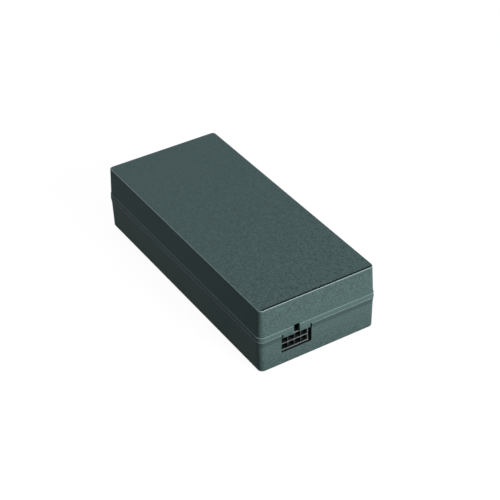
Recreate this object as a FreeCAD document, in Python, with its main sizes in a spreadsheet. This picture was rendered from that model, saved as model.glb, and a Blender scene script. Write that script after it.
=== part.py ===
import FreeCAD, Part
import math
import os
import Sketcher

# Desktop ac power adapter: a two-part moulded case around a switching supply board.
# X runs across the case, Y along it with the dc socket at -Y and the ac inlet at +Y, Z up.
# The origin lies on the plane the feet rest on, under the middle of the case.

V = FreeCAD.Vector
doc = FreeCAD.newDocument("ac_power_adapter")
sheet = doc.addObject("Spreadsheet::Sheet", "size")

SIZES = {
    # Case outline over the rim, heights are taken from the underside of the case
    "case_width": 76.8,
    "case_length": 173.1,
    "case_height": 41.6,
    "corner_radius": 3.9,
    "foot_stand": 0.8,
    "parting_height": 20.85,
    "band_height": 2.9,
    "band_inset": 0.18,
    "ledge": 0.32,
    "rim_height": 3.5,
    "rim_draft": 8.0,
    "upper_draft": 2.5,
    "lower_draft": 1.3,
    "top_edge_radius": 0.9,
    "bottom_edge_radius": 0.9,
    "band_edge_radius": 0.22,
    "rim_edge_radius": 0.16,
    "inner_radius": 1.6,
    "wall": 2.0,
    "floor": 2.4,
    "lap_height": 1.8,
    "lap_thick": 1.0,
    "lap_gap": 0.1,
    # Opening over the dc socket
    "socket_x": -14.3,
    "cutout_width": 19.4,
    "cutout_bottom": 8.4,
    "cutout_radius": 0.6,
    "tongue_width": 17.3,
    "tongue_bottom": 18.55,
    "tongue_thick": 2.0,
    "notch_width": 3.7,
    "notch_rise": 0.5,
    # Board and what carries it
    "board_side_gap": 4.2,
    "board_end_gap": 3.5,
    "board_thick": 1.6,
    "board_bottom": 5.9,
    "board_corner": 1.5,
    "shelf_length": 5.0,
    "shelf_pitch": 32.0,
    "stand_radius": 2.5,
    "stand_x": 20.0,
    "stand_y": 44.0,
    "hold_radius": 2.0,
    "hold_side": 3.2,
    "hold_end": 5.5,
    "hold_gap": 0.1,
    "sheet_thick": 0.4,
    "sheet_inset": 1.7,
    # Feet
    "foot_radius": 5.0,
    "foot_sink": 0.8,
    "foot_gap": 0.1,
    "foot_edge": 0.3,
    "foot_side": 10.4,
    "foot_end": 11.55,
    # Dc socket, a right-angle two-row header
    "header_width": 18.0,
    "header_height": 9.6,
    "header_depth": 12.8,
    "header_recess": 2.9,
    "header_pitch": 4.2,
    "cavity_side": 3.6,
    "cavity_corner": 0.9,
    "cavity_depth": 10.4,
    "ramp_width": 3.3,
    "ramp_height": 1.4,
    "ramp_length": 3.4,
    "ramp_start": 0.5,
    "contact_side": 1.0,
    "contact_reach": 2.2,
    "contact_back": 2.6,
    "contact_row_step": 4.2,
    "pin_end": 1.4,
    "pin_hole": 1.6,
    # Ac inlet
    "inlet_width": 28.0,
    "inlet_height": 21.0,
    "inlet_depth": 21.0,
    "inlet_recess": 0.6,
    "inlet_corner": 1.0,
    "socket_width": 24.2,
    "socket_height": 16.6,
    "socket_depth": 17.0,
    "socket_bevel": 5.2,
    "socket_corner": 0.5,
    "window_gap": 0.1,
    "wing_width": 1.8,
    "wing_thick": 2.0,
    "wing_gap": 0.6,
    "blade_height": 4.0,
    "blade_thick": 2.0,
    "blade_spread": 7.0,
    "blade_offset": 2.0,
    "blade_start": 1.2,
    "blade_back": 2.4,
    "blade_leg": 1.2,
    "earth_extra": 2.6,
    # Parts that stand on the board
    "lead_radius": 0.4,
    "sink_thick": 2.5,
    "sink_height": 28.0,
    "sink_flange": 10.0,
    "tab_width": 10.0,
    "tab_height": 15.6,
    "tab_thick": 1.3,
    "mould_height": 9.0,
    "mould_thick": 4.5,
    "device_lift": 4.0,
    "tab_hole_radius": 1.8,
    "tab_hole_drop": 2.8,
    "screw_radius": 1.4,
    "screw_hole": 1.5,
    "screw_head": 2.8,
    "screw_head_height": 1.9,
}
for row, (name, value) in enumerate(SIZES.items(), 1):
    sheet.set(f"A{row}", name)
    sheet.set(f"B{row}", str(value))
    sheet.setAlias(f"B{row}", name)
doc.recompute()

# Levels and faces that several pieces share, as rules on the sheet
BOTTOM = "size.foot_stand"
PARTING = "(size.foot_stand + size.parting_height)"
BAND_TOP = "(size.foot_stand + size.parting_height + size.band_height)"
CASE_TOP = "(size.foot_stand + size.case_height)"
BOARD_LOW = "(size.foot_stand + size.board_bottom)"
BOARD_TOP = "(size.foot_stand + size.board_bottom + size.board_thick)"
FLOOR_TOP = "(size.foot_stand + size.floor)"
FRONT_END = "(-size.case_length / 2)"
BACK_END = "(size.case_length / 2)"
LID_INSET = "(size.band_inset + size.ledge)"
TUB_INSET = "(size.rim_height * tan(size.rim_draft))"
BOARD_SIDE = "(size.case_width / 2 - size.board_side_gap)"
BOARD_END = "(size.case_length / 2 - size.board_end_gap)"
FOOT_X = "(size.case_width / 2 - size.foot_side)"
FOOT_Y = "(size.case_length / 2 - size.foot_end)"
INLET_MIDDLE = f"({BOARD_TOP} + size.inlet_height / 2)"
INLET_FACE = f"({BACK_END} - size.inlet_recess)"
INLET_BACK = f"({INLET_FACE} - size.inlet_depth)"
HEADER_FACE = "(size.case_length / 2 - size.header_recess)"
HEADER_BACK = f"(-{HEADER_FACE} + size.header_depth)"


def number(rule):
    """The present value of a rule on the sheet."""
    return float(sheet.evalExpression(str(rule)))


def bind(thing, **rules):
    for name, rule in rules.items():
        thing.setExpression(name, str(rule))
    return thing


def place(thing, x="0", y="0", z="0", turn=None):
    """Puts an object at a point given by rules, turned about (axis, degrees) if asked."""
    if turn:
        thing.Placement = FreeCAD.Placement(V(0, 0, 0), FreeCAD.Rotation(*turn))
    for axis, rule in zip("xyz", (x, y, z)):
        thing.setExpression("Placement.Base." + axis, str(rule))
    return thing


def new_body(name):
    return doc.addObject("PartDesign::Body", name)


def new_sketch(body, name, plane="XY_Plane", offset="0"):
    """A sketch on one of the body's own planes, moved along the plane's normal."""
    made = body.newObject("Sketcher::SketchObject", name)
    found = [each for each in body.Origin.OriginFeatures if each.Role == plane][0]
    made.AttachmentSupport = [(found, "")]
    made.MapMode = "FlatFace"
    made.setExpression("AttachmentOffset.Base.z", str(offset))
    return made


def tie(sketch, kind, geometry, point, rule):
    """Holds a point of a sketch at a distance from the sketch's origin given by a rule."""
    index = sketch.addConstraint(
        Sketcher.Constraint(kind, -1, 1, geometry, point, number(rule)))
    sketch.setExpression(f"Constraints[{index}]", str(rule))


def draw_outline(sketch, points):
    """Closed outline of straight lines through points given as pairs of rules."""
    first = len(sketch.Geometry)
    count = len(points)
    spots = [V(number(across), number(along), 0) for across, along in points]
    for index in range(count):
        sketch.addGeometry(Part.LineSegment(spots[index], spots[(index + 1) % count]))
    for index in range(count):
        following = first + (index + 1) % count
        sketch.addConstraint(Sketcher.Constraint("Coincident", first + index, 2, following, 1))
    for index, (across, along) in enumerate(points):
        tie(sketch, "DistanceX", first + index, 1, across)
        tie(sketch, "DistanceY", first + index, 1, along)


def draw_circle(sketch, x, y, radius):
    centre = V(number(x), number(y), 0)
    index = sketch.addGeometry(Part.Circle(centre, V(0, 0, 1), number(radius)))
    tie(sketch, "DistanceX", index, 3, x)
    tie(sketch, "DistanceY", index, 3, y)
    held = sketch.addConstraint(Sketcher.Constraint("Radius", index, number(radius)))
    sketch.setExpression(f"Constraints[{held}]", str(radius))


def draw_rounded(sketch, left, bottom, right, top, corner):
    """Rectangle with equal round corners, its sides and radius tied to rules."""
    first = len(sketch.Geometry)
    x0, y0, x1, y1, r = (number(rule) for rule in (left, bottom, right, top, corner))
    sides = (((x0 + r, y0), (x1 - r, y0)), ((x1, y0 + r), (x1, y1 - r)),
             ((x1 - r, y1), (x0 + r, y1)), ((x0, y1 - r), (x0, y0 + r)))
    centres = ((x1 - r, y0 + r), (x1 - r, y1 - r), (x0 + r, y1 - r), (x0 + r, y0 + r))
    for start, end in sides:
        sketch.addGeometry(Part.LineSegment(V(*start, 0), V(*end, 0)))
    for index, centre in enumerate(centres):
        circle = Part.Circle(V(*centre, 0), V(0, 0, 1), r)
        start = math.radians(-90 + 90 * index)
        sketch.addGeometry(Part.ArcOfCircle(circle, start, start + math.pi / 2))
    for index in range(4):
        side, arc, following = first + index, first + 4 + index, first + (index + 1) % 4
        sketch.addConstraint(Sketcher.Constraint("Tangent", side, 2, arc, 1))
        sketch.addConstraint(Sketcher.Constraint("Tangent", arc, 2, following, 1))
        sketch.addConstraint(Sketcher.Constraint("Vertical" if index % 2 else "Horizontal", side))
    for index in range(1, 4):
        sketch.addConstraint(Sketcher.Constraint("Equal", first + 4, first + 4 + index))
    tie(sketch, "DistanceY", first, 1, bottom)
    tie(sketch, "DistanceX", first + 1, 1, right)
    tie(sketch, "DistanceY", first + 2, 1, top)
    tie(sketch, "DistanceX", first + 3, 1, left)
    held = sketch.addConstraint(Sketcher.Constraint("Radius", first + 4, r))
    sketch.setExpression(f"Constraints[{held}]", str(corner))


def draw_case(sketch, inset, corner=None):
    """Outline of the case moved inwards from the rim's outer face."""
    width = f"(size.case_width / 2 - ({inset}))"
    length = f"(size.case_length / 2 - ({inset}))"
    draw_rounded(sketch, f"-{width}", f"-{length}", width, length, corner or f"size.corner_radius - ({inset})")


def extrude(body, kind, sketch, length, draft=None, turned=False):
    """Pad or Pocket of a sketch; a positive draft widens it along its way."""
    made = body.newObject("PartDesign::" + kind, kind + "_" + sketch.Name)
    made.Profile = sketch
    made.Reversed = turned
    made.setExpression("Length", str(length))
    if draft:
        made.setExpression("TaperAngle", str(draft))
    body.Tip = made
    return made


def round_edges(body, base, chosen, radius, kind="Fillet"):
    """Fillet on the edges of a feature that a test picks out."""
    doc.recompute()
    names = [f"Edge{i}" for i, edge in enumerate(base.Shape.Edges, 1) if chosen(edge.BoundBox)]
    if not names:
        raise ValueError("no edge found to round on " + base.Name)
    made = body.newObject("PartDesign::" + kind, kind + "_" + base.Name)
    made.Base = (base, names)
    made.setExpression("Radius" if kind == "Fillet" else "Size", str(radius))
    body.Tip = made
    return made


def prism(name, plane, points, start, length):
    """Body made by drawing a straight-sided outline and drawing it out along the normal."""
    body = new_body(name)
    sketch = new_sketch(body, name + "_outline", plane, start)
    draw_outline(sketch, points)
    extrude(body, "Pad", sketch, length)
    return body


def rounded_block(name, x, y, z, length, width, height, corner, edge):
    """Upright moulded block with its middle at x, y and its foot at z."""
    body = new_body(name)
    sketch = new_sketch(body, name + "_outline")
    draw_rounded(sketch, f"-({length}) / 2", f"-({width}) / 2", f"({length}) / 2", f"({width}) / 2", corner)
    pad = extrude(body, "Pad", sketch, height)
    top = number(height)
    round_edges(body, pad, lambda box: box.ZMin > top - 0.01, edge)
    return place(body, x, y, z)


def turned_body(name, points, x, y, z, angle=360, turn=None):
    """Body turned about the Z axis from a half profile of radius and height pairs."""
    body = new_body(name)
    sketch = new_sketch(body, name + "_profile", "XZ_Plane")
    draw_outline(sketch, points)
    made = body.newObject("PartDesign::Revolution", name + "_turned")
    made.Profile = sketch
    made.ReferenceAxis = (sketch, ["V_Axis"])
    made.Angle = angle
    body.Tip = made
    return place(body, x, y, z, turn)


def block(name, length, width, height, x, y, z):
    return place(bind(doc.addObject("Part::Box", name), Length=length, Width=width, Height=height), x, y, z)


def rod(name, radius, height, x, y, z, turn=None):
    made = bind(doc.addObject("Part::Cylinder", name), Radius=radius, Height=height)
    return place(made, x, y, z, turn)


def joined(name, pieces):
    made = doc.addObject("Part::MultiFuse", name)
    made.Shapes = pieces
    made.Refine = True
    return made


def cut(name, base, tools):
    made = doc.addObject("Part::Cut", name)
    made.Base = base
    made.Tool = tools[0] if len(tools) == 1 else joined(name + "_tools", tools)
    made.Refine = True
    return made


nodes = []
board_holes = []


# Lower case: drafted tub with a sloping rim, a lap rib, board shelves and the socket cut-out
def lower_case():
    body = new_body("lower_case")
    rim = new_sketch(body, "rim", offset=PARTING)
    draw_case(rim, "0")
    pad = extrude(body, "Pad", rim, "size.rim_height", "-size.rim_draft", turned=True)
    high = number(PARTING)
    round_edges(body, pad, lambda box: box.ZMin > high - 0.01, "size.rim_edge_radius")
    skirt = new_sketch(body, "skirt", offset=f"{PARTING} - size.rim_height")
    draw_case(skirt, TUB_INSET)
    pad = extrude(body, "Pad", skirt, "size.parting_height - size.rim_height", "-size.lower_draft", turned=True)
    low = number(BOTTOM)
    round_edges(body, pad, lambda box: box.ZMax < low + 0.01, "size.bottom_edge_radius")
    lap = new_sketch(body, "lap", offset=PARTING)
    draw_case(lap, f"{TUB_INSET} + size.wall - size.lap_thick")
    extrude(body, "Pad", lap, "size.lap_height")
    hollow = new_sketch(body, "hollow", offset=f"{PARTING} + size.lap_height")
    draw_case(hollow, f"{TUB_INSET} + size.wall", "size.inner_radius")
    extrude(body, "Pocket", hollow, "size.parting_height + size.lap_height - size.floor", "-size.lower_draft")
    shelves = new_sketch(body, "shelves", offset=f"{FLOOR_TOP} - 0.2")
    for side in (-1, 1):
        inner = f"{side} * ({BOARD_SIDE} - 1)"
        outer = f"{side} * (size.case_width / 2 - size.wall)"
        for step in (-2, -1, 0, 1, 2):
            near = f"{step} * size.shelf_pitch - size.shelf_length / 2"
            far = f"{step} * size.shelf_pitch + size.shelf_length / 2"
            draw_outline(shelves, ((inner, near), (outer, near), (outer, far), (inner, far)))
    extrude(body, "Pad", shelves, "size.board_bottom - size.floor + 0.2")
    stands = new_sketch(body, "stands", offset=f"{FLOOR_TOP} - 0.2")
    for side in (-1, 1):
        for end in (-1, 1):
            draw_circle(stands, f"{side} * size.stand_x", f"{end} * size.stand_y", "size.stand_radius")
    extrude(body, "Pad", stands, "size.board_bottom - size.floor + 0.2")
    recesses = new_sketch(body, "foot_recesses", offset=BOTTOM)
    for side in (-1, 1):
        for end in (-1, 1):
            draw_circle(recesses, f"{side} * {FOOT_X}", f"{end} * {FOOT_Y}", "size.foot_radius + size.foot_gap")
    extrude(body, "Pocket", recesses, "size.foot_sink", turned=True)
    cutout = new_sketch(body, "cutout", "XZ_Plane", "size.case_length / 2 + 1")
    half = "size.cutout_width / 2"
    draw_rounded(cutout, f"size.socket_x - {half}", f"{BOTTOM} + size.cutout_bottom",
                 f"size.socket_x + {half}", f"{PARTING} + size.lap_height + 2", "size.cutout_radius")
    extrude(body, "Pocket", cutout, "size.wall + 3")
    window = new_sketch(body, "inlet_window", "XZ_Plane", "-size.case_length / 2 - 1")
    side = "(size.inlet_width / 2 + size.window_gap)"
    draw_outline(window, ((f"-{side}", f"{BOARD_TOP} - size.window_gap"), (side, f"{BOARD_TOP} - size.window_gap"),
                          (side, f"{PARTING} + size.lap_height + 2"), (f"-{side}", f"{PARTING} + size.lap_height + 2")))
    extrude(body, "Pocket", window, "size.wall + 3", turned=True)
    return body


# Upper case: drafted lid with the proud band, a rebate for the lap rib and the notched tongue
def upper_case():
    body = new_body("upper_case")
    shell = new_sketch(body, "lid_outline", offset=f"{BAND_TOP} - 0.5")
    draw_case(shell, LID_INSET)
    pad = extrude(body, "Pad", shell, "size.case_height - size.parting_height - size.band_height + 0.5",
                  "-size.upper_draft")
    high = number(CASE_TOP)
    round_edges(body, pad, lambda box: box.ZMin > high - 0.01, "size.top_edge_radius")
    band = new_sketch(body, "band", offset=PARTING)
    draw_case(band, "size.band_inset")
    pad = extrude(body, "Pad", band, "size.band_height")
    level = number(BAND_TOP)
    across = number("size.case_width / 2 - size.band_inset")
    along = number("size.case_length / 2 - size.band_inset")
    round_edges(body, pad, lambda box: level - 0.01 < box.ZMin and box.ZMax < level + 0.01
                and (max(-box.XMin, box.XMax) > across - 0.01 or max(-box.YMin, box.YMax) > along - 0.01),
                "size.band_edge_radius")
    hollow = new_sketch(body, "lid_hollow", offset=PARTING)
    draw_case(hollow, f"{LID_INSET} + size.wall", "size.inner_radius")
    extrude(body, "Pocket", hollow, "size.case_height - size.parting_height - size.wall",
            "-size.upper_draft", turned=True)
    rebate = new_sketch(body, "rebate", offset=PARTING)
    draw_case(rebate, f"{TUB_INSET} + size.wall - size.lap_thick - size.lap_gap")
    extrude(body, "Pocket", rebate, "size.lap_height + size.lap_gap * 2", turned=True)
    tongue = new_sketch(body, "tongue", "XZ_Plane", "size.case_length / 2 - size.band_inset - size.tongue_thick")
    half = "size.tongue_width / 2"
    low, high = f"{BOTTOM} + size.tongue_bottom", f"{PARTING} + size.lap_height + 0.6"
    draw_outline(tongue, ((f"size.socket_x - {half}", low), (f"size.socket_x + {half}", low),
                          (f"size.socket_x + {half}", high), (f"size.socket_x - {half}", high)))
    extrude(body, "Pad", tongue, "size.tongue_thick")
    notch = new_sketch(body, "notch", "XZ_Plane", "size.case_length / 2 + 1")
    half = "size.notch_width / 2"
    low = f"{BOTTOM} + size.tongue_bottom - 1"
    top = f"{BAND_TOP} + size.notch_rise"
    draw_outline(notch, ((f"size.socket_x - {half}", low), (f"size.socket_x + {half}", low),
                         (f"size.socket_x + {half}", top), (f"size.socket_x - {half}", top)))
    extrude(body, "Pocket", notch, "size.wall + 3")
    window = new_sketch(body, "lid_window", "XZ_Plane", "-size.case_length / 2 - 1")
    side = "(size.inlet_width / 2 + size.window_gap)"
    top = f"{BOARD_TOP} + size.inlet_height + size.window_gap"
    draw_outline(window, ((f"-{side}", f"{PARTING} - 1"), (side, f"{PARTING} - 1"), (side, top), (f"-{side}", top)))
    extrude(body, "Pocket", window, "size.wall + 3", turned=True)
    posts = new_sketch(body, "hold_down_posts", offset=f"{BOARD_TOP} + size.hold_gap")
    for side in (-1, 1):
        for end in (-1, 1):
            draw_circle(posts, f"{side} * ({BOARD_SIDE} - size.hold_side)", f"{end} * ({BOARD_END} - size.hold_end)",
                        "size.hold_radius")
    extrude(body, "Pad", posts, f"{CASE_TOP} - size.wall - {BOARD_TOP} - size.hold_gap + 0.3")
    return body


# Feet: four rubber discs glued into shallow recesses of the underside
def foot(name, side, end):
    body = new_body(name)
    sketch = new_sketch(body, name + "_outline")
    draw_circle(sketch, "0", "0", "size.foot_radius")
    pad = extrude(body, "Pad", sketch, "size.foot_stand + size.foot_sink")
    round_edges(body, pad, lambda box: box.ZMax < 0.01, "size.foot_edge")
    return place(body, f"{side} * {FOOT_X}", f"{end} * {FOOT_Y}", "0")


# Insulating sheet: thin film on the floor, cleared around the stands
def insulating_sheet():
    body = new_body("insulating_sheet")
    sketch = new_sketch(body, "sheet_outline")
    half_width, half_length = f"({BOARD_SIDE} - size.sheet_inset)", f"({BOARD_END} - size.sheet_inset)"
    draw_rounded(sketch, f"-{half_width}", f"-{half_length}", half_width, half_length, "size.board_corner")
    for side in (-1, 1):
        for end in (-1, 1):
            draw_circle(sketch, f"{side} * size.stand_x", f"{end} * size.stand_y", "size.stand_radius + 0.2")
    extrude(body, "Pad", sketch, "size.sheet_thick")
    return place(body, z=FLOOR_TOP)


# Ac inlet: moulded shroud with two bevelled corners, side wings behind the wall, three blades
def inlet_housing():
    body = new_body("inlet_housing")
    outer = new_sketch(body, "inlet_outline", "XZ_Plane", f"-{INLET_FACE}")
    half = "(size.inlet_width / 2)"
    draw_rounded(outer, f"-{half}", BOARD_TOP, half, f"{BOARD_TOP} + size.inlet_height", "size.inlet_corner")
    extrude(body, "Pad", outer, "size.inlet_depth")
    wings = new_sketch(body, "inlet_wings", "XZ_Plane",
                       f"-({BACK_END} - {LID_INSET} - size.wall - size.wing_gap)")
    wide = "(size.inlet_width / 2 + size.wing_width)"
    top = f"{BOARD_TOP} + size.inlet_height - 1"
    draw_outline(wings, ((f"-{wide}", BOARD_TOP), (wide, BOARD_TOP), (wide, top), (f"-{wide}", top)))
    extrude(body, "Pad", wings, "size.wing_thick")
    socket = new_sketch(body, "inlet_socket", "XZ_Plane", f"-{INLET_FACE}")
    across, up = "(size.socket_width / 2)", "(size.socket_height / 2)"
    low, high = f"{INLET_MIDDLE} - {up}", f"{INLET_MIDDLE} + {up}"
    draw_outline(socket, ((f"-{across}", low), (across, low), (across, f"{high} - size.socket_bevel"),
                          (f"{across} - size.socket_bevel", high), (f"-{across} + size.socket_bevel", high),
                          (f"-{across}", f"{high} - size.socket_bevel")))
    pocket = extrude(body, "Pocket", socket, "size.socket_depth", turned=False)
    pocket.Reversed = True
    slots = new_sketch(body, "inlet_slots", "XZ_Plane", f"-{INLET_FACE}")
    for across, up in (("-size.blade_spread", "-size.blade_offset"), ("size.blade_spread", "-size.blade_offset"),
                       ("0", "size.blade_offset")):
        left, right = f"{across} - size.blade_thick / 2", f"{across} + size.blade_thick / 2"
        low = f"{INLET_MIDDLE} + {up} - size.blade_height / 2"
        high = f"{INLET_MIDDLE} + {up} + size.blade_height / 2"
        draw_outline(slots, ((left, low), (right, low), (right, high), (left, high)))
    pocket = extrude(body, "Pocket", slots, "size.inlet_depth + 1")
    pocket.Reversed = True
    return body


def inlet_blade(name, across, up, extra):
    """Flat blade that ends in a leg down through the board."""
    tip = f"{INLET_FACE} - size.blade_start"
    back = f"({INLET_BACK} - size.blade_back - {extra})"
    low = f"{INLET_MIDDLE} + {up} - size.blade_height / 2"
    high = f"{INLET_MIDDLE} + {up} + size.blade_height / 2"
    end = f"{BOARD_LOW} - size.pin_end"
    leg = f"{back} + size.blade_leg"
    nose = "size.blade_thick / 3"
    body = prism(name, "YZ_Plane",
                 ((back, end), (leg, end), (leg, low), (f"{tip} - {nose}", low), (tip, f"{low} + {nose}"),
                  (tip, f"{high} - {nose}"), (f"{tip} - {nose}", high), (back, high)),
                 f"{across} - size.blade_thick / 2", "size.blade_thick")
    board_holes.append(block(name + "_slot", "size.blade_thick + 0.4", "size.blade_leg + 0.4",
                             "size.board_thick + 2", f"{across} - size.blade_thick / 2 - 0.2",
                             f"{back} - 0.2", f"{BOARD_LOW} - 1"))
    return body


# Dc socket: right-angle header of two rows of four cavities with a latch ramp on top
def header_housing():
    body = new_body("header_housing")
    outer = new_sketch(body, "header_outline", "XZ_Plane", HEADER_FACE)
    half = "(size.header_width / 2)"
    draw_rounded(outer, f"size.socket_x - {half}", BOARD_TOP, f"size.socket_x + {half}",
                 f"{BOARD_TOP} + size.header_height", "0.4")
    extrude(body, "Pad", outer, "size.header_depth", turned=True)
    ramp = new_sketch(body, "latch_ramp", "YZ_Plane", "size.socket_x - size.ramp_width / 2")
    top = f"{BOARD_TOP} + size.header_height"
    start = f"-{HEADER_FACE} + size.ramp_start"
    draw_outline(ramp, ((start, f"{top} - 0.3"), (f"{start} + size.ramp_length", f"{top} - 0.3"),
                        (f"{start} + size.ramp_length", f"{top} + size.ramp_height"),
                        (f"{start} + size.ramp_length * 0.6", f"{top} + size.ramp_height"), (start, top)))
    extrude(body, "Pad", ramp, "size.ramp_width")
    cavities = new_sketch(body, "header_cavities", "XZ_Plane", HEADER_FACE)
    holes = new_sketch(body, "header_holes", "XZ_Plane", HEADER_FACE)
    half = "size.cavity_side / 2"
    pin = "size.contact_side / 2"
    for column in range(4):
        for row in range(2):
            x = f"(size.socket_x + {column - 1.5} * size.header_pitch)"
            z = f"({BOARD_TOP} + size.header_height / 2 + {row - 0.5} * size.header_pitch)"
            left, right, low, high = f"{x} - {half}", f"{x} + {half}", f"{z} - {half}", f"{z} + {half}"
            bevel = "size.cavity_corner" if (row + column) % 2 else "0.25 * size.cavity_corner"
            draw_outline(cavities, ((left, low), (right, low), (right, f"{high} - {bevel}"),
                                    (f"{right} - {bevel}", high), (f"{left} + {bevel}", high),
                                    (left, f"{high} - {bevel}")))
            draw_outline(holes, ((f"{x} - {pin}", f"{z} - {pin}"), (f"{x} + {pin}", f"{z} - {pin}"),
                                 (f"{x} + {pin}", f"{z} + {pin}"), (f"{x} - {pin}", f"{z} + {pin}")))
    extrude(body, "Pocket", cavities, "size.cavity_depth")
    extrude(body, "Pocket", holes, "size.header_depth + 1")
    return body


def header_contact(number_in_row, row):
    """Bent square contact from inside its cavity to below the board."""
    name = f"dc_contact_{row * 4 + number_in_row + 1}"
    x = f"(size.socket_x + {number_in_row - 1.5} * size.header_pitch)"
    z = f"({BOARD_TOP} + size.header_height / 2 + {row - 0.5} * size.header_pitch)"
    half = "size.contact_side / 2"
    tip = f"(-{HEADER_FACE} + size.contact_reach)"
    back = f"({HEADER_BACK} + size.contact_back + {row} * size.contact_row_step)"
    end = f"{BOARD_LOW} - size.pin_end"
    taper = "size.contact_side / 4"
    body = prism(name, "YZ_Plane",
                 ((tip, f"{z} - {half} + {taper}"), (f"{tip} + 1", f"{z} - {half}"),
                  (f"{back} - size.contact_side", f"{z} - {half}"), (f"{back} - size.contact_side", end),
                  (back, end), (back, f"{z} + {half}"), (f"{tip} + 1", f"{z} + {half}"),
                  (tip, f"{z} + {half} - {taper}")),
                 f"{x} - {half}", "size.contact_side")
    board_holes.append(rod(name + "_hole", "size.pin_hole / 2", "size.board_thick + 2",
                           x, f"{back} - size.contact_side / 2", f"{BOARD_LOW} - 1"))
    return body


# Main board: glass-epoxy sheet, slotted and drilled for the contacts that pass through it
def main_board():
    body = new_body("board_blank")
    sketch = new_sketch(body, "board_outline")
    draw_rounded(sketch, f"-{BOARD_SIDE}", f"-{BOARD_END}", BOARD_SIDE, BOARD_END, "size.board_corner")
    extrude(body, "Pad", sketch, "size.board_thick")
    place(body, z=BOARD_LOW)
    return cut("main_board", body, board_holes)


# Cored winding: two E-shaped ferrite halves around a bobbin with pin bars and its coil
def cored_winding(name, x, y, width, depth, height):
    leg, back = f"{width * 0.14}", f"{height * 0.2}"
    post = width * 0.19
    clear = 0.3
    half = height / 2
    window = width / 2 - width * 0.14
    lift = 1.0
    made = []
    for part, sign in (("core_bottom", -1), ("core_top", 1)):
        body = new_body(f"{name}_{part}")
        sketch = new_sketch(body, f"{name}_{part}_outline", "XZ_Plane", f"-{depth / 2}")
        outer, inner, deep = f"{width / 2}", f"{window}", f"{sign} * ({half} - {back})"
        far = f"{sign * half}"
        draw_outline(sketch, ((f"-{outer}", "0"), (f"-{outer}", far), (outer, far), (outer, "0"),
                              (inner, "0"), (inner, deep), (f"-{inner}", deep), (f"-{inner}", "0")))
        extrude(body, "Pad", sketch, f"{depth}")
        middle = new_sketch(body, f"{name}_{part}_post")
        draw_circle(middle, "0", "0", f"{post}")
        extrude(body, "Pad", middle, f"{half} - {back} + 0.2", turned=sign < 0)
        made.append(place(body, x, y, f"{BOARD_TOP} + {half + lift}"))
    reach = window - clear
    tube = half - number(back) - 0.1
    shell = turned_body(f"{name}_former",
                        ((f"{post + 0.2}", f"-{tube}"), (f"{reach}", f"-{tube}"), (f"{reach}", f"-{tube} + 1"),
                         (f"{post + 1.2}", f"-{tube} + 1"), (f"{post + 1.2}", f"{tube} - 1"),
                         (f"{reach}", f"{tube} - 1"), (f"{reach}", f"{tube}"), (f"{post + 0.2}", f"{tube}")),
                        x, y, f"{BOARD_TOP} + {half + lift}")
    bars = [block(f"{name}_bar_{end}", f"{width * 0.6}", "4", f"{half + lift - tube + 1}",
                  f"({x}) - {width * 0.3}", f"({y}) + {start}", BOARD_TOP)
            for end, start in (("front", -depth / 2 - 4.2), ("back", depth / 2 + 0.2))]
    made.append(joined(f"{name}_bobbin", [shell] + bars))
    coil = turned_body(f"{name}_coil",
                       ((f"{post + 1.2}", f"-{tube} + 1"), (f"{reach - 0.6}", f"-{tube} + 1"),
                        (f"{reach - 0.2}", f"-{tube} + 1.6"), (f"{reach - 0.2}", f"{tube} - 1.6"),
                        (f"{reach - 0.6}", f"{tube} - 1"), (f"{post + 1.2}", f"{tube} - 1")),
                       x, y, f"{BOARD_TOP} + {half + lift}")
    return made + [coil]


# Ring choke: coated ferrite ring on edge with one or two windings around it
def ring_choke(name, x, y, ring, half_side, half_width, coils, turn_angle):
    wire = 0.9
    lift = ring + half_side + wire
    core = turned_body(f"{name}_core",
                       ((f"{ring - half_side}", f"-{half_width}"), (f"{ring + half_side}", f"-{half_width}"),
                        (f"{ring + half_side}", f"{half_width}"), (f"{ring - half_side}", f"{half_width}")),
                       x, y, f"{BOARD_TOP} + {lift}", turn=(V(1, 0, 0), 90))
    made = [core]
    for index in range(coils):
        label = f"{name}_coil_{index + 1}" if coils > 1 else f"{name}_coil"
        outer, side = half_side + wire, half_width + wire
        body = new_body(label)
        sketch = new_sketch(body, label + "_profile", "XZ_Plane")
        draw_rounded(sketch, f"{ring - outer}", f"-{side}", f"{ring + outer}", f"{side}", "1.2")
        draw_outline(sketch, ((f"{ring - half_side}", f"-{half_width}"), (f"{ring + half_side}", f"-{half_width}"),
                              (f"{ring + half_side}", f"{half_width}"), (f"{ring - half_side}", f"{half_width}")))
        wound = body.newObject("PartDesign::Revolution", label + "_wound")
        wound.Profile = sketch
        wound.ReferenceAxis = (sketch, ["V_Axis"])
        wound.Angle = turn_angle
        wound.Midplane = True
        body.Tip = wound
        turn = FreeCAD.Rotation(V(1, 0, 0), 90).multiply(
            FreeCAD.Rotation(V(0, 0, 1), 180 * index if coils > 1 else -90))
        body.Placement = FreeCAD.Placement(V(0, 0, 0), turn)
        made.append(place(body, x, y, f"{BOARD_TOP} + {lift}"))
    return made


def disc_part(name, x, y, radius, thick, spread):
    """Coated disc on edge with two leads down to the board."""
    lift = 2.0
    disc = rod(name + "_disc", f"{radius}", f"{thick}", x, f"({y}) + {thick / 2}",
               f"{BOARD_TOP} + {radius + lift}", (V(1, 0, 0), 90))
    rim = doc.addObject("Part::Fillet", name + "_coat")
    rim.Base = disc
    doc.recompute()
    rounds = [i for i, edge in enumerate(disc.Shape.Edges, 1) if edge.Closed]
    rim.Edges = [(i, thick * 0.3, thick * 0.3) for i in rounds]
    leads = [rod(f"{name}_lead_{index}", "size.lead_radius", f"{lift + radius * 0.6}",
                 f"({x}) + {side * spread / 2}", y, BOARD_TOP)
             for index, side in enumerate((-1, 1))]
    return joined(name, [rim] + leads)


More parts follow.
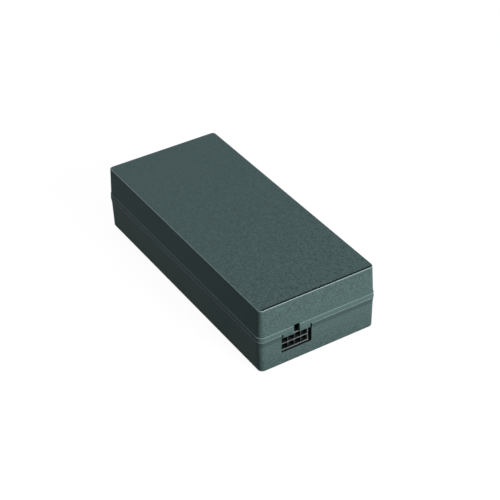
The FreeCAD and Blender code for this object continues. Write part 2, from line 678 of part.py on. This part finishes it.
def can(name, x, y, radius, height):
    """Electrolytic can with a crimped groove near its foot and a rolled top edge."""
    return turned_body(name,
                       (("0", "0"), (f"{radius}", "0"), (f"{radius}", f"{height * 0.09}"),
                        (f"{radius * 0.93}", f"{height * 0.12}"), (f"{radius}", f"{height * 0.15}"),
                        (f"{radius}", f"{height - 0.8}"), (f"{radius - 0.8}", f"{height}"),
                        (f"{radius * 0.8}", f"{height}"), (f"{radius * 0.8}", f"{height - 0.3}"),
                        ("0", f"{height - 0.3}")),
                       x, y, BOARD_TOP)


# Heatsink: bent aluminium angle on edge, drilled for the screws of its power devices
def heatsink(name, side, x, low, high, screws):
    inner = f"{x}"
    outer = f"({x} + {side} * size.sink_thick)"
    top = f"({BOARD_TOP} + size.sink_height)"
    under = f"({top} - size.sink_thick)"
    flange = f"({x} - {side} * size.sink_flange)"
    body = prism(name, "XZ_Plane",
                 ((inner, BOARD_TOP), (outer, BOARD_TOP), (outer, top), (flange, top), (flange, under),
                  (inner, under)), f"-({high})", f"{high} - ({low})")
    holes = new_sketch(body, name + "_holes", "YZ_Plane", f"{x} - {side} * 1")
    for y in screws:
        draw_circle(holes, f"{y}", f"{BOARD_TOP} + size.device_lift + size.tab_height - size.tab_hole_drop",
                    "size.screw_hole")
    extrude(body, "Pocket", holes, "size.sink_thick + 2", turned=side > 0)
    return body


def power_device(name, side, x, y, width):
    """Moulded device whose metal tab lies on the heatsink's inner face, with three legs."""
    foot_level = f"({BOARD_TOP} + size.device_lift)"
    hole_level = f"{foot_level} + size.tab_height - size.tab_hole_drop"
    away = -side
    face, tab = f"{x}", f"({x} + {away} * size.tab_thick)"
    front = f"({x} + {away} * size.mould_thick)"
    body = prism(name + "_blank", "XZ_Plane",
                 ((face, foot_level), (front, foot_level), (front, f"{foot_level} + size.mould_height - 0.6"),
                  (f"{front} - {away} * 0.6", f"{foot_level} + size.mould_height"),
                  (tab, f"{foot_level} + size.mould_height"), (tab, f"{foot_level} + size.tab_height"),
                  (face, f"{foot_level} + size.tab_height")), f"-({y} + {width / 2})", f"{width}")
    hole = new_sketch(body, name + "_hole", "YZ_Plane", f"{x} + {away} * 3")
    draw_circle(hole, f"{y}", hole_level, "size.tab_hole_radius")
    extrude(body, "Pocket", hole, "6", turned=side > 0)
    legs = [block(f"{name}_leg_{index}", "0.6", "0.9", "size.device_lift + 0.5",
                  f"{x} + {away} * 2.4 - 0.3", f"{y} + {step * width / 4} - 0.45", BOARD_TOP)
            for index, step in enumerate((-1, 0, 1))]
    return joined(name, [body] + legs)


def device_screws(name, side, x, places):
    """Pan-head screws through the tabs into the heatsink, kept as one group."""
    level = f"{BOARD_TOP} + size.device_lift + size.tab_height - size.tab_hole_drop"
    made = []
    for index, y in enumerate(places):
        turn = (V(0, 1, 0), 90 * side)
        shank = rod(f"{name}_shank_{index}", "size.screw_radius", "size.tab_thick + size.sink_thick",
                    f"{x} - {side} * size.tab_thick", f"{y}", level, turn)
        head = rod(f"{name}_head_{index}", "size.screw_head", "size.screw_head_height",
                   f"{x} - {side} * (size.tab_thick + size.screw_head_height)", f"{y}", level, turn)
        made.append(joined(f"{name}_{index}", [shank, head]))
    group = doc.addObject("Part::Compound", name)
    group.Links = made
    return group


def chip(name, x, y, z, length, width, legs):
    """Moulded chip flat on a board with gull legs along both long sides."""
    shell = block(name + "_mould", f"{length}", f"{width}", "3", f"({x}) - {length / 2}",
                  f"({y}) - {width / 2}", f"{z} + 0.3")
    pieces = [shell]
    for index in range(legs):
        along = (index - (legs - 1) / 2) * 2.54
        pieces.append(block(f"{name}_leg_{index}", "0.6", f"{width + 2.4}", "0.9",
                            f"({x}) + {along} - 0.3", f"({y}) - {width / 2 + 1.2}", f"{z}"))
    return joined(name, pieces)


# Fuse: ceramic tube with end caps, held in two bent clips
def fuse_and_clips(x, y):
    level = f"{BOARD_TOP} + 4.4"
    tube = rod("fuse_tube", "2.5", "20", x, f"({y}) - 10", level, (V(1, 0, 0), -90))
    caps = [rod(f"fuse_cap_{end}", "2.75", "5", x, f"({y}) + {start}", level, (V(1, 0, 0), -90))
            for end, start in (("front", -10.2), ("back", 5.2))]
    fuse = joined("fuse", [tube] + caps)
    clips = []
    for end, start in (("front", -9.4), ("back", 6.2)):
        frame = block(f"clip_block_{end}", "6.7", "3.2", "5.6", f"({x}) - 3.35", f"({y}) + {start}", BOARD_TOP)
        inner = block(f"clip_gap_{end}", "5.5", "4", "9", f"({x}) - 2.75", f"({y}) + {start} - 0.4",
                      f"{BOARD_TOP} + 1.65")
        clips.append(cut(f"fuse_clip_{end}", frame, [inner]))
    group = doc.addObject("Part::Compound", "fuse_clips")
    group.Links = clips
    return [fuse, group]


def control_board(x, y):
    """Small upright board that stands on edge on the main board."""
    body = new_body("control_board")
    sketch = new_sketch(body, "control_outline", "YZ_Plane", "-0.6")
    draw_outline(sketch, (("-14", "0"), ("14", "0"), ("14", "22"), ("4", "22"), ("2", "20"), ("-14", "20")))
    extrude(body, "Pad", sketch, "1.2")
    return place(body, x, y, BOARD_TOP)


# Assembly: each sub-part is made in turn and kept under its own name
nodes += [lower_case(), upper_case()]
for side, across in (("left", -1), ("right", 1)):
    nodes.append(foot("foot_front_" + side, across, -1))
    nodes.append(foot("foot_back_" + side, across, 1))
nodes.append(insulating_sheet())
nodes.append(inlet_housing())
nodes.append(inlet_blade("inlet_blade_line", "-size.blade_spread", "-size.blade_offset", "0"))
nodes.append(inlet_blade("inlet_blade_neutral", "size.blade_spread", "-size.blade_offset", "0"))
nodes.append(inlet_blade("inlet_blade_earth", "0", "size.blade_offset", "size.earth_extra"))
nodes.append(header_housing())
for row in range(2):
    for column in range(4):
        nodes.append(header_contact(column, row))
nodes.append(main_board())

# Mains side: fuse, surge parts, line filter and rectifier behind the inlet
nodes += fuse_and_clips("-22", f"{BACK_END} - 15.5")
nodes.append(disc_part("surge_varistor", "21", f"{BACK_END} - 14.5", 6.0, 4.0, 7.5))
nodes.append(disc_part("inrush_limiter", "23", f"{BACK_END} - 21", 6.5, 5.0, 7.5))
nodes.append(rounded_block("film_capacitor_1", "-14", "50.5", BOARD_TOP, 26.0, 10.0, 19.0, 0.6, 0.5))
nodes.append(rounded_block("film_capacitor_2", "27", "33", BOARD_TOP, 8.5, 18.0, 15.0, 0.6, 0.5))
nodes += ring_choke("line_filter", "16.5", "50.5", 9.0, 3.0, 4.0, 2, 140)
nodes.append(disc_part("disc_capacitor_1", "24", "18", 3.5, 3.2, 5.0))
nodes.append(disc_part("disc_capacitor_2", "-26", "-26", 3.5, 3.2, 5.0))

# Conversion: choke, storage capacitor and power devices on the mains-side heatsink
PRIMARY_FACE = "-28.5"
primary_places = (33.0, 16.0, 2.0, -12.0)
nodes.append(heatsink("primary_heatsink", -1, PRIMARY_FACE, "-19", "42", primary_places))
nodes.append(power_device("bridge_rectifier", -1, PRIMARY_FACE, primary_places[0], 16.0))
nodes.append(power_device("boost_diode", -1, PRIMARY_FACE, primary_places[1], 10.0))
nodes.append(power_device("boost_transistor", -1, PRIMARY_FACE, primary_places[2], 10.0))
nodes.append(power_device("main_transistor", -1, PRIMARY_FACE, primary_places[3], 10.0))
nodes.append(device_screws("primary_screws", -1, PRIMARY_FACE, primary_places))
nodes += cored_winding("boost_choke", "2", "30", 32.0, 17.0, 24.0)
nodes.append(can("bulk_capacitor", "12", "1.5", 14.5, 29.0))
nodes.append(control_board("-13", "0"))
nodes.append(chip("controller_chip", "-20", "-2", BOARD_TOP, 10.0, 6.4, 4))

# Transformer and output side, ending at the dc socket
nodes += cored_winding("transformer", "0", "-33", 36.0, 18.0, 28.0)
OUTPUT_FACE = "28.5"
output_places = (-30.0, -46.0)
nodes.append(heatsink("output_heatsink", 1, OUTPUT_FACE, "-62", "-18", output_places))
nodes.append(power_device("output_rectifier_1", 1, OUTPUT_FACE, output_places[0], 10.0))
nodes.append(power_device("output_rectifier_2", 1, OUTPUT_FACE, output_places[1], 10.0))
nodes.append(device_screws("output_screws", 1, OUTPUT_FACE, output_places))
nodes.append(chip("optocoupler", "-26", "-40", BOARD_TOP, 4.6, 6.4, 2))
for index, (across, along) in enumerate(((4, 25.5), (16, 25.5), (4, 13.5), (16, 13.5))):
    nodes.append(can(f"output_capacitor_{index + 1}", f"{across}", f"{FRONT_END} + {along}", 5.0, 20.0))
nodes += ring_choke("output_choke", "-17", f"{FRONT_END} + 29.5", 7.0, 2.6, 3.4, 1, 300)

doc.recompute()
os.makedirs("parts", exist_ok=True)
for thing in doc.Objects:
    if "Invalid" in thing.State or "Error" in thing.State:
        raise RuntimeError(thing.Name + " did not build: " + str(thing.State))
for thing in nodes:
    if thing.Shape.isNull() or not thing.Shape.isValid():
        raise RuntimeError(thing.Label + " has no sound shape")
    thing.Shape.exportStep("parts/" + thing.Label + ".step")
print(len(nodes), "parts written")
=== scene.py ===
import math

import bpy
from mathutils import Matrix, Vector

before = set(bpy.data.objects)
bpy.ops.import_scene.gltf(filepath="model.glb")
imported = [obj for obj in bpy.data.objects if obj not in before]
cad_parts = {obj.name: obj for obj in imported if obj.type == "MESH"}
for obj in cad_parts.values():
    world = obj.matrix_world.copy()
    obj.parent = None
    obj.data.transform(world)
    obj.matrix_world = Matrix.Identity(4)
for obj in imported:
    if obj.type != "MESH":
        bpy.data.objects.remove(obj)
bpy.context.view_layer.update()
MM = 0.001

# Camera: a long lens above the case's front left corner, as the photograph was taken.
# Its place is an orbit about the middle of the case, with a small slide and roll.
azimuth, elevation, roll = (math.radians(angle) for angle in (-31.031, 35.654, -1.671))
orbit_radius = 848.6 * MM
slide_right, slide_up = 8.385 * MM, -3.919 * MM
case_middle = Vector((0, 0, 21.6 * MM))
FOCAL_PIXELS, FRAME_PIXELS, SENSOR_WIDTH = 1455.4, 500, 36.0
toward_eye = Vector((math.sin(azimuth) * math.cos(elevation),
                     -math.cos(azimuth) * math.cos(elevation), math.sin(elevation)))
level_right = Vector((0, 0, 1)).cross(toward_eye).normalized()
level_up = toward_eye.cross(level_right)
right = level_right * math.cos(roll) + level_up * math.sin(roll)
up = level_up * math.cos(roll) - level_right * math.sin(roll)
camera = bpy.data.objects.new("camera", bpy.data.cameras.new("camera"))
bpy.context.collection.objects.link(camera)
camera.data.sensor_width = SENSOR_WIDTH
camera.data.lens = FOCAL_PIXELS / FRAME_PIXELS * SENSOR_WIDTH
camera.data.clip_start = 0.01
eye = case_middle + right * slide_right + up * slide_up + toward_eye * orbit_radius
turn = Matrix((right, up, toward_eye)).transposed().to_4x4()
camera.matrix_world = Matrix.Translation(eye) @ turn
bpy.context.scene.camera = camera
bpy.context.scene.view_settings.view_transform = "Standard"


# Studio light: one broad key lamp in front and to the right, a weak lamp overhead and behind,
# and an even surround that the camera and mirrored rays see as white.
def soft_lamp(name, place, width, power, colour=(1, 1, 1)):
    lamp = bpy.data.lights.new(name, "AREA")
    lamp.color = colour
    lamp.shape = "SQUARE"
    lamp.size = width
    lamp.energy = power
    made = bpy.data.objects.new(name, lamp)
    bpy.context.collection.objects.link(made)
    made.location = place
    made.rotation_euler = (Vector(place) - case_middle).to_track_quat("Z", "Y").to_euler()


class Value:
    """A number or colour on its way through a material; arithmetic on it adds Math nodes."""

    def __init__(self, tree, socket):
        self.tree = tree
        self.socket = socket

    def _with(self, other, operation, swapped=False):
        made = self.tree.nodes.new("ShaderNodeMath")
        made.operation = operation
        for index, item in enumerate((other, self) if swapped else (self, other)):
            if isinstance(item, Value):
                self.tree.links.new(item.socket, made.inputs[index])
            else:
                made.inputs[index].default_value = item
        return Value(self.tree, made.outputs[0])

    def __add__(self, other):
        return self._with(other, "ADD")

    def __radd__(self, other):
        return self._with(other, "ADD")

    def __sub__(self, other):
        return self._with(other, "SUBTRACT")

    def __rsub__(self, other):
        return self._with(other, "SUBTRACT", True)

    def __mul__(self, other):
        return self._with(other, "MULTIPLY")

    def __rmul__(self, other):
        return self._with(other, "MULTIPLY")

    def __gt__(self, other):
        return self._with(other, "GREATER_THAN")

    def __lt__(self, other):
        return self._with(other, "LESS_THAN")

    def between(self, low, high):
        """1 where the value lies inside the span, otherwise 0."""
        return (self > low) * (self < high)


def shows_ground(tree):
    """1 on rays that show the background itself: straight, mirrored or through glass."""
    path = tree.nodes.new("ShaderNodeLightPath")
    camera_ray, mirrored_ray, glass_ray = (Value(tree, path.outputs[f"Is {kind} Ray"])
                                           for kind in ("Camera", "Glossy", "Transmission"))
    return camera_ray + mirrored_ray + glass_ray > 0.5


soft_lamp("key_lamp", place=(0.38, -1.16, 0.46), width=0.7, power=21.6)
soft_lamp("back_lamp", place=(-0.1, 0.7, 1.1), width=0.8, power=5.6, colour=(1.0, 0.95, 1.06))
world = bpy.data.worlds.new("studio")
bpy.context.scene.world = world
world.use_nodes = True
surround = world.node_tree.nodes["Background"]
surround.inputs["Color"].default_value = (0.93, 0.97, 1.0, 1)
surround.inputs["Strength"].default_value = 0.14
backdrop = world.node_tree.nodes.new("ShaderNodeBackground")
backdrop.inputs["Color"].default_value = (1, 1, 1, 1)
choice = world.node_tree.nodes.new("ShaderNodeMixShader")
for source, target in ((shows_ground(world.node_tree).socket, choice.inputs[0]),
                       (surround.outputs[0], choice.inputs[1]),
                       (backdrop.outputs[0], choice.inputs[2]),
                       (choice.outputs[0], world.node_tree.nodes["World Output"].inputs[0])):
    world.node_tree.links.new(source, target)


# Floor: a plain sheet just under the feet, dull enough to throw little light up at the walls.
# To the camera it glows, so that it reads as the white ground of a product picture.
class Finish:
    """A material built around one Principled shader, with patterns in real metres."""

    def __init__(self, name, **numbers):
        self.material = bpy.data.materials.new(name)
        self.material.use_nodes = True
        self.tree = self.material.node_tree
        self.shader = self.tree.nodes["Principled BSDF"]
        for socket, value in numbers.items():
            self.shader.inputs[socket.replace("_", " ")].default_value = value
        self.place = self.node("TexCoord", out="Object")

    def node(self, kind, settings=None, out=0, **inputs):
        """Adds a node; an input is given by its name, or by i and its number."""
        made = self.tree.nodes.new("ShaderNode" + kind)
        for name, value in (settings or {}).items():
            setattr(made, name, value)
        for name, value in inputs.items():
            numbered = name[1:].isdigit()
            socket = made.inputs[int(name[1:]) if numbered else name.replace("_", " ")]
            if isinstance(value, Value):
                self.tree.links.new(value.socket, socket)
            else:
                socket.default_value = value
        return Value(self.tree, made.outputs[out])

    def noise(self, size, detail=2.0, roughness=0.5):
        """Soft noise from 0 to 1 whose blotches are about size metres across."""
        return self.node("TexNoise", out="Fac", Vector=self.place, Scale=1 / size, Detail=detail,
                         Roughness=roughness)

    def axis(self, letter):
        return self.node("SeparateXYZ", out=letter, Vector=self.place)

    def mix(self, factor, first, second, blend="MIX"):
        """Colour from first to second as the factor goes from 0 to 1."""
        settings = {"data_type": "RGBA", "blend_type": blend}
        return self.node("Mix", settings, out=2, i0=factor, i6=first, i7=second)

    def feed(self, socket, value):
        self.tree.links.new(value.socket, self.shader.inputs[socket])

    def bump(self, height, distance, strength=1.0):
        self.feed("Normal", self.node("Bump", Height=height, Distance=distance, Strength=strength))


FLOOR_SHADE = (0.12, 0.12, 0.12, 1)
FLOOR_GLOW = (0.94, 0.94, 0.94, 1)
NO_GLOW = (0, 0, 0, 1)
ground = Finish("pale_floor", Base_Color=FLOOR_SHADE, Roughness=0.9, Specular_IOR_Level=0.0)
ground.shader.inputs["Emission Strength"].default_value = 1.0
ground.feed("Emission Color", ground.mix(shows_ground(ground.tree), NO_GLOW, FLOOR_GLOW))
HALF_FLOOR = 3.0
FLOOR_DROP = 0.02 * MM
floor_mesh = bpy.data.meshes.new("floor")
floor_mesh.from_pydata([(-HALF_FLOOR, -HALF_FLOOR, 0), (HALF_FLOOR, -HALF_FLOOR, 0),
                        (HALF_FLOOR, HALF_FLOOR, 0), (-HALF_FLOOR, HALF_FLOOR, 0)], [], [(0, 1, 2, 3)])
floor = bpy.data.objects.new("floor", floor_mesh)
floor.location.z = -FLOOR_DROP
bpy.context.collection.objects.link(floor)
floor.data.materials.append(ground.material)


def dress(finish, *names):
    """Gives CAD nodes a finish in place of the plain one they were loaded with."""
    for name in names:
        node = bpy.data.objects[name]
        for index in range(len(node.material_slots)):
            node.material_slots[index].material = finish.material
        if not node.material_slots:
            node.data.materials.append(finish.material)


# Case halves: injection-moulded plastic from a spark-eroded mould, welded at the lap.
# The proud band and the sloping rim come from polished steel, so they are smoother, and
# the sharp edges of the lid, the band and the rim carry painted highlights.
CASE_DARK = (0.042, 0.067, 0.065, 1)
CASE_LIGHT = (0.098, 0.157, 0.153, 1)
# Painted highlight colour for the sharp edges of the lid, the band and the rim.
EDGE_HIGHLIGHT = (0.18, 0.25, 0.243, 1)
PARTING = 21.65 * MM
RIM_FOOT = 18.15 * MM
BAND_TOP = 24.55 * MM
LID_TOP = 42.4 * MM
LEDGE_LINE = 0.27 * MM
SIDE_WALL = 36.9 * MM
FRONT_WALL = -84.6 * MM


class CaseFinish(Finish):
    """Grained case plastic, on which masks paint light or shade onto single areas, or smooth them."""

    def __init__(self, name):
        super().__init__(name, Specular_IOR_Level=0.05)
        self.x, self.y, self.z = (self.axis(letter) for letter in "XYZ")
        self.shade = 1.0

    def paint_light(self, mask, amount):
        """Paints light or shade onto the masked area by a factor."""
        self.shade = self.shade + mask * (amount - 1)

    def grained(self, smooth):
        """Sets roughness and relief and gives the colour with its painted light and shade; the smooth area
        has little grain.
        """
        grain_size, grain_contrast, pit_size, cloud_size = 1.0 * MM, 2.4, 0.8 * MM, 14 * MM
        far_end, far_share, fade = 60 * MM, 0.35, 4.5
        speckle = (self.noise(grain_size, 2.0, 0.6) - 0.5) * grain_contrast
        evenness = self.node("Clamp", Value=far_share + (far_end - self.y) * fade, Min=far_share, Max=1.0)
        pits = self.node("TexVoronoi", {"feature": "SMOOTH_F1"}, out="Distance", Vector=self.place,
                         Scale=1 / pit_size, Smoothness=0.6)
        clouds = self.noise(cloud_size, 3.0, 0.6)
        side_wall = self.x * self.x > SIDE_WALL ** 2
        front_wall = self.y < FRONT_WALL
        rough_part = (1 - smooth * 0.8) * (1 - side_wall * 0.6) * (1 - front_wall * 0.2)
        tone = self.mix(0.5 + speckle * evenness * rough_part, CASE_DARK, CASE_LIGHT)
        self.feed("Roughness", 0.58 + speckle * 0.05 + clouds * 0.06)
        self.bump((speckle * 0.3 + pits * 0.5) * rough_part, 0.06 * MM, 0.8)
        return self.mix(1.0, tone, self.shade, "MULTIPLY")


# Lid: painted light on the band, a painted highlight on its ledge, and painted highlights on
# the edges round the top, with a painted shade line where the front edge turns away from the light.
# Painted highlight colour for the lid's top edges.
LID_EDGE_HIGHLIGHT = (0.25, 0.33, 0.32, 1)
SIDE_EDGE, BACK_EDGE, FRONT_LINE, FRONT_EDGE = 36.6 * MM, 84.5 * MM, -84.1 * MM, -83 * MM
lid = CaseFinish("upper_case_plastic")
band = lid.z.between(PARTING, BAND_TOP - 0.28 * MM)
# Painted light: the band is made lighter, as if its face caught more of the light.
lid.paint_light(band, 1.15)
# Painted shade: a dark line along the top of the front edge.
front_shade_line = (lid.y < FRONT_LINE) * (lid.z > LID_TOP - 0.3 * MM)
lid.paint_light(front_shade_line, 0.12)
# Painted highlights on the lid's top edges: the front fillet, the sides and the back.
front_edge = lid.z.between(LID_TOP - 0.8 * MM, LID_TOP - 0.35 * MM) * (lid.y < FRONT_EDGE)
outer = (lid.x * lid.x > SIDE_EDGE ** 2) + (lid.y > BACK_EDGE) > 0.5
other_edge = outer * (lid.z > LID_TOP - 0.5 * MM)
# Painted highlight along the band's ledge.
ledge_highlight = lid.z.between(BAND_TOP - 0.26 * MM, BAND_TOP + 0.08 * MM)
lit_edges = (front_edge + other_edge > 0.5) * (1 - front_shade_line)
plain = lid.mix(ledge_highlight, lid.grained(smooth=band), EDGE_HIGHLIGHT)
lid.feed("Base Color", lid.mix(lit_edges, plain, LID_EDGE_HIGHLIGHT))
dress(lid, "upper_case")

# Tub: painted shade on the sloping rim with a painted highlight on its edge, painted shade that
# darkens the walls toward the foot, and painted shade on the sides of the opening round the socket,
# above a painted highlight on its lip.
# Painted highlight colour for the lip of the opening.
LIP_HIGHLIGHT = (0.4, 0.44, 0.44, 1)
SOCKET_X = -14.3 * MM
OPENING_HALF, LIP_HALF = 9.78 * MM, 9.0 * MM
LIP_BOTTOM, LIP_LINE_TOP = 9.1 * MM, 9.4 * MM
OPENING_FRONT, LIP_LINE_FRONT, OPENING_BACK = -85.8 * MM, -84.35 * MM, -83.2 * MM
tub = CaseFinish("lower_case_plastic")
rim = tub.z.between(RIM_FOOT, PARTING - LEDGE_LINE)
# Painted shade on the sloping rim.
tub.paint_light(rim, 0.78)
# Painted shade that darkens the walls toward the foot.
tub.shade = tub.shade * tub.node("Clamp", Value=0.8 + tub.z * 14, Min=0.8, Max=1.0)
aside = tub.x - SOCKET_X
opening = ((aside * aside < OPENING_HALF ** 2) * tub.y.between(OPENING_FRONT, OPENING_BACK)
           * (tub.z > LIP_BOTTOM))
# Painted shade on the sides and lip of the opening.
tub.paint_light(opening * (tub.z < PARTING), 0.2)
# Painted highlight along the lip of the opening.
lip_highlight = opening * (tub.y > LIP_LINE_FRONT) * (tub.z < LIP_LINE_TOP) * (aside * aside < LIP_HALF ** 2)
# Painted highlight along the rim's top edge at the parting.
rim_highlight = tub.z.between(PARTING - LEDGE_LINE, PARTING + 0.01 * MM) * (1 - opening)
plain = tub.mix(rim_highlight, tub.grained(smooth=rim), EDGE_HIGHLIGHT)
tub.feed("Base Color", tub.mix(lip_highlight, plain, LIP_HIGHLIGHT))
dress(tub, "lower_case")


# Feet: four black rubber discs glued into the recesses under the lower case. The rubber is
# dull and a little dusty.
rubber = Finish("foot_rubber", Specular_IOR_Level=0.3)
dust = rubber.noise(1.2 * MM, 4.0, 0.6)
rubber.feed("Base Color", rubber.mix(dust, (0.012, 0.012, 0.012, 1), (0.035, 0.034, 0.032, 1)))
rubber.feed("Roughness", 0.72 + dust * 0.15)
rubber.bump(dust, 0.05 * MM)
dress(rubber, "foot_front_left", "foot_front_right", "foot_back_left", "foot_back_right")


# Dc socket: a glass-filled nylon header on the board's front edge, with tin-plated contacts
# pressed through its back wall. Its near-black colour is also painted shade for its cavities, and
# the front edges of its shelves and of one wall carry painted highlights.
def moulded(name, dark, light, roughness, size, relief):
    """Plain moulded plastic or resin: a slight colour change and a fine relief."""
    made = Finish(name)
    mottle = made.noise(size, 4.0, 0.6)
    made.feed("Base Color", made.mix(mottle, dark, light))
    made.feed("Roughness", roughness + mottle * 0.12)
    made.bump(mottle, relief)
    return made


def plated(name, dark, light, roughness, size=0.4 * MM):
    """Plated or bare metal with faint drawing marks."""
    made = Finish(name, Metallic=1.0)
    streaks = made.noise(size, 3.0, 0.6)
    made.feed("Base Color", made.mix(streaks, dark, light))
    made.feed("Roughness", roughness + streaks * 0.15)
    made.bump(streaks, 0.01 * MM)
    return made


HEADER_FACE = -83.65 * MM
HEADER_MIDDLE = 13.1 * MM
# Painted highlight colours for the front edges of the shelves and of the right wall.
SHELF_HIGHLIGHT = (0.2, 0.22, 0.22, 1)
WALL_HIGHLIGHT = (0.12, 0.14, 0.14, 1)
header_nylon = Finish("header_nylon", Specular_IOR_Level=0.15)
flecks = header_nylon.noise(0.6 * MM, 4.0, 0.6)
front = header_nylon.axis("Y") < HEADER_FACE + 0.25 * MM
level = header_nylon.axis("Z") - HEADER_MIDDLE
across = header_nylon.axis("X") - SOCKET_X
middle_shelf = level * level < (0.2 * MM) ** 2
notch_shelf = (level > 4.15 * MM) * (across * across < (2.4 * MM) ** 2)
right_wall = across > 8.3 * MM
# Near-black nylon, dark enough to stand as painted shade inside the cavities.
black = header_nylon.mix(flecks, (0.009, 0.013, 0.014, 1), (0.016, 0.022, 0.023, 1))
# Painted light: the front face is a little lighter, and its shelf and wall edges carry painted highlights.
edges = header_nylon.mix(front, black, (0.02, 0.024, 0.024, 1))
edges = header_nylon.mix(front * right_wall, edges, WALL_HIGHLIGHT)
edges = header_nylon.mix(front * (middle_shelf + notch_shelf), edges, SHELF_HIGHLIGHT)
header_nylon.feed("Base Color", edges)
header_nylon.feed("Roughness", 0.42 + flecks * 0.12)
header_nylon.bump(flecks, 0.02 * MM)
dress(header_nylon, "header_housing")
contact_tin = plated("contact_tin", (0.5, 0.48, 0.43, 1), (0.68, 0.66, 0.6, 1), 0.25)
dress(contact_tin, *[f"dc_contact_{number}" for number in range(1, 9)])


# Ac inlet: a black moulded shroud held between the case halves, with three plated blades.
# The fuse's clips have the same plating.
dress(moulded("inlet_black", (0.012, 0.012, 0.013, 1), (0.03, 0.03, 0.032, 1), 0.4, 0.7 * MM, 0.03 * MM),
      "inlet_housing")
dress(contact_tin, "inlet_blade_line", "inlet_blade_neutral", "inlet_blade_earth", "fuse_clips")


# Boards and the film under them: glass-epoxy laminate with green resist over its copper,
# and a milky insulating sheet on the floor of the case.
resist = Finish("board_resist", Coat_Weight=0.3, Coat_Roughness=0.2)
weave = resist.node("TexBrick", {"offset": 0.5}, out="Fac", Vector=resist.place, Scale=1 / (4 * MM),
                    Mortar_Size=0.12)
copper_areas = resist.noise(9 * MM, 2.0, 0.4) > 0.5
resist.feed("Base Color", resist.mix(copper_areas, (0.012, 0.09, 0.035, 1), (0.02, 0.14, 0.055, 1)))
resist.feed("Roughness", 0.38 + weave * 0.1)
resist.bump(copper_areas * 0.6 + weave * 0.1, 0.035 * MM)
dress(resist, "main_board", "control_board")
dress(moulded("insulating_film", (0.62, 0.62, 0.58, 1), (0.72, 0.72, 0.68, 1), 0.45, 3 * MM, 0.02 * MM),
      "insulating_sheet")


# Parts on the board: each kind with the coat, case or metal that it is bought with, and the
# heatsinks and screws that cool and hold them.
dress(moulded("fuse_ceramic", (0.7, 0.69, 0.65, 1), (0.8, 0.79, 0.75, 1), 0.3, 0.5 * MM, 0.01 * MM), "fuse")
dress(moulded("varistor_coat", (0.02, 0.05, 0.22, 1), (0.03, 0.08, 0.3, 1), 0.3, 1.5 * MM, 0.06 * MM),
      "surge_varistor")
dress(moulded("limiter_coat", (0.015, 0.05, 0.02, 1), (0.03, 0.08, 0.03, 1), 0.35, 1.5 * MM, 0.06 * MM),
      "inrush_limiter")
dress(moulded("film_case", (0.62, 0.4, 0.03, 1), (0.7, 0.48, 0.04, 1), 0.35, 0.9 * MM, 0.03 * MM),
      "film_capacitor_1", "film_capacitor_2")
dress(moulded("disc_coat", (0.05, 0.16, 0.42, 1), (0.07, 0.2, 0.5, 1), 0.3, 1.2 * MM, 0.05 * MM),
      "disc_capacitor_1", "disc_capacitor_2")
dress(moulded("ferrite_ceramic", (0.02, 0.02, 0.022, 1), (0.05, 0.05, 0.053, 1), 0.5, 0.4 * MM, 0.03 * MM),
      "boost_choke_core_bottom", "boost_choke_core_top", "transformer_core_bottom", "transformer_core_top")
dress(moulded("ring_coat", (0.02, 0.12, 0.05, 1), (0.03, 0.16, 0.07, 1), 0.35, 1.0 * MM, 0.04 * MM),
      "line_filter_core", "output_choke_core")
dress(moulded("bobbin_resin", (0.012, 0.012, 0.012, 1), (0.03, 0.03, 0.03, 1), 0.45, 0.6 * MM, 0.03 * MM),
      "boost_choke_bobbin", "transformer_bobbin")
dress(moulded("can_sleeve", (0.008, 0.009, 0.02, 1), (0.02, 0.022, 0.04, 1), 0.3, 2.5 * MM, 0.02 * MM),
      "bulk_capacitor", *[f"output_capacitor_{number}" for number in range(1, 5)])
dress(moulded("device_mould", (0.01, 0.01, 0.01, 1), (0.03, 0.03, 0.03, 1), 0.5, 0.3 * MM, 0.02 * MM),
      "bridge_rectifier", "boost_diode", "boost_transistor", "main_transistor", "output_rectifier_1",
      "output_rectifier_2", "controller_chip", "optocoupler")
dress(plated("sink_sheet", (0.62, 0.62, 0.63, 1), (0.75, 0.75, 0.76, 1), 0.35, 1.5 * MM),
      "primary_heatsink", "output_heatsink")
dress(plated("screw_zinc", (0.5, 0.5, 0.5, 1), (0.66, 0.66, 0.64, 1), 0.3), "primary_screws", "output_screws")


# Windings: enamelled copper wire round the rings, and yellow polyester tape over the
# transformer's and the choke's layers, with the edges of its turns showing.
def wound(name, dark, light, metallic, pitch, roughness):
    """Turns side by side, with a groove between them."""
    made = Finish(name, Metallic=metallic)
    turns = made.node("TexWave", {"wave_type": "RINGS", "rings_direction": "Y"}, out="Fac",
                      Vector=made.place, Scale=1 / (pitch * math.tau))
    made.feed("Base Color", made.mix(turns, dark, light))
    made.feed("Roughness", roughness + turns * 0.1)
    made.bump(turns, 0.15 * MM)
    return made


dress(wound("copper_wire", (0.35, 0.09, 0.03, 1), (0.6, 0.2, 0.07, 1), 0.9, 0.7 * MM, 0.3),
      "line_filter_coil_1", "line_filter_coil_2", "output_choke_coil")
dress(wound("winding_tape", (0.62, 0.42, 0.03, 1), (0.75, 0.55, 0.05, 1), 0.0, 2.0 * MM, 0.3),
      "boost_choke_coil", "transformer_coil")
